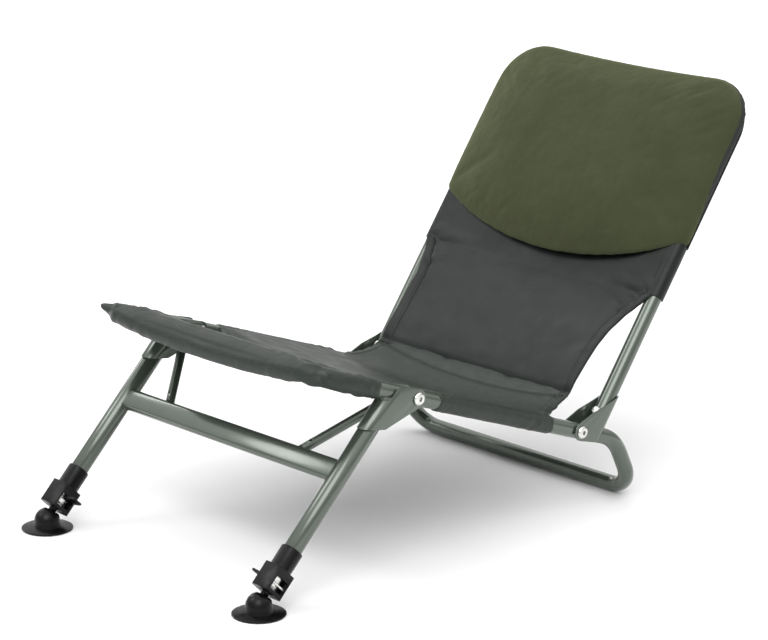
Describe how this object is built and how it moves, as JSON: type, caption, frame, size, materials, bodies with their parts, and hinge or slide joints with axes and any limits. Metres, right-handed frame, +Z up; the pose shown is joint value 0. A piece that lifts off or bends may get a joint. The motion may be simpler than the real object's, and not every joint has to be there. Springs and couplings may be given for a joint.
{
  "type": "folding sling chair",
  "caption": "Low folding sling chair on a bent tube frame, with telescopic front legs on swivelling mud feet, a hinged backrest and a padded head cushion.",
  "frame": {"origin": "on the floor, under the middle of the chair's bounding box", "axes": "+X to the sitter's left, +Y rearwards along the chair's length, +Z up"},
  "size_m": [0.512, 0.9504, 0.5587],
  "materials": {
    "frame_paint": "satin grey-green powder coat",
    "zinc": "bright zinc plate",
    "black_plastic": "fine-grained black moulding",
    "nylon": "smooth black nylon",
    "sling_cloth": "coated dark grey-green woven nylon",
    "olive_fleece": "short olive fleece pile"
  },
  "bodies": {
    "seat_frame": {"back_inner_washer_left": "nylon", "back_inner_washer_right": "nylon", "back_outer_washer_left": "nylon", "back_outer_washer_right": "nylon", "back_pivot_bolt_left": "zinc", "back_pivot_bolt_right": "zinc", "back_pivot_nut_left": "zinc", "back_pivot_nut_right": "zinc", "leg_inner_washer_left": "nylon", "leg_inner_washer_right": "nylon", "leg_outer_washer_left": "nylon", "leg_outer_washer_right": "nylon", "leg_pivot_bolt_left": "zinc", "leg_pivot_bolt_right": "zinc", "leg_pivot_nut_left": "zinc", "leg_pivot_nut_right": "zinc", "lower_back_sling": "sling_cloth", "rear_foot_tube": "frame_paint", "seat_frame_tube": "frame_paint", "seat_sling": "sling_cloth"},
    "front_legs": {"cross_tube": "frame_paint", "leg_bracket_left": "frame_paint", "leg_bracket_right": "frame_paint", "leg_clamp_left": "black_plastic", "leg_clamp_right": "black_plastic", "leg_tube_left": "frame_paint", "leg_tube_right": "frame_paint", "lock_spring_left": "zinc", "lock_spring_right": "zinc", "strut_left": "frame_paint", "strut_right": "frame_paint"},
    "backrest": {"back_bracket_left": "frame_paint", "back_bracket_right": "frame_paint", "back_frame_tube": "frame_paint", "back_sling": "sling_cloth", "back_tube_plug_left": "black_plastic", "back_tube_plug_right": "black_plastic", "bracket_screw_left": "zinc", "bracket_screw_nut_left": "zinc", "bracket_screw_nut_right": "zinc", "bracket_screw_right": "zinc", "cushion_pocket": "sling_cloth", "head_cushion": "olive_fleece"},
    "lock_lever_left": {"lock_plate_left": "zinc", "release_tab_left": "black_plastic"},
    "inner_leg_left": {"foot_stud_left": "black_plastic", "inner_leg_left": "zinc", "leg_bush_left": "nylon"},
    "foot_ball_left": {"ball_pin_left": "zinc", "foot_ball_left": "black_plastic"},
    "mud_foot_left": {"mud_foot_left": "black_plastic"},
    "lock_lever_right": {"lock_plate_right": "zinc", "release_tab_right": "black_plastic"},
    "inner_leg_right": {"foot_stud_right": "black_plastic", "inner_leg_right": "zinc", "leg_bush_right": "nylon"},
    "foot_ball_right": {"ball_pin_right": "zinc", "foot_ball_right": "black_plastic"},
    "mud_foot_right": {"mud_foot_right": "black_plastic"}
  },
  "joints": [
    {"name": "front_leg_fold", "type": "hinge", "parent": "seat_frame", "child": "front_legs", "pos_m": [0, -0.18026, 0.23365], "axis": [1, 0, 0], "range_deg": [0, 106]},
    {"name": "backrest_fold", "type": "hinge", "parent": "seat_frame", "child": "backrest", "pos_m": [0, 0.12516, 0.124], "axis": [1, 0, 0], "range_deg": [0, 100], "deforming": ["lower_back_sling"]},
    {"name": "lock_lever_left", "type": "hinge", "parent": "front_legs", "child": "lock_lever_left", "pos_m": [0.235, -0.41932, 0.03631], "axis": [0, -0.7151, 0.699], "range_deg": [0, 8], "stiffness_Nm_per_rad": 0.4},
    {"name": "leg_extension_left", "type": "slide", "parent": "front_legs", "child": "inner_leg_left", "axis": [0, 0.699, 0.7151], "range_m": [-0.1, 0]},
    {"name": "foot_tilt_left", "type": "hinge", "parent": "inner_leg_left", "child": "foot_ball_left", "pos_m": [0.221, -0.44015, 0.015], "axis": [1, 0, 0], "range_deg": [-15, 15]},
    {"name": "foot_roll_left", "type": "hinge", "parent": "foot_ball_left", "child": "mud_foot_left", "pos_m": [0.221, -0.44015, 0.015], "axis": [0, 1, 0], "range_deg": [-15, 15]},
    {"name": "lock_lever_right", "type": "hinge", "parent": "front_legs", "child": "lock_lever_right", "pos_m": [-0.235, -0.41932, 0.03631], "axis": [0, 0.7151, -0.699], "range_deg": [0, 8], "stiffness_Nm_per_rad": 0.4},
    {"name": "leg_extension_right", "type": "slide", "parent": "front_legs", "child": "inner_leg_right", "axis": [0, 0.699, 0.7151], "range_m": [-0.1, 0]},
    {"name": "foot_tilt_right", "type": "hinge", "parent": "inner_leg_right", "child": "foot_ball_right", "pos_m": [-0.221, -0.44015, 0.015], "axis": [1, 0, 0], "range_deg": [-15, 15]},
    {"name": "foot_roll_right", "type": "hinge", "parent": "foot_ball_right", "child": "mud_foot_right", "pos_m": [-0.221, -0.44015, 0.015], "axis": [0, 1, 0], "range_deg": [-15, 15]}
  ]
}
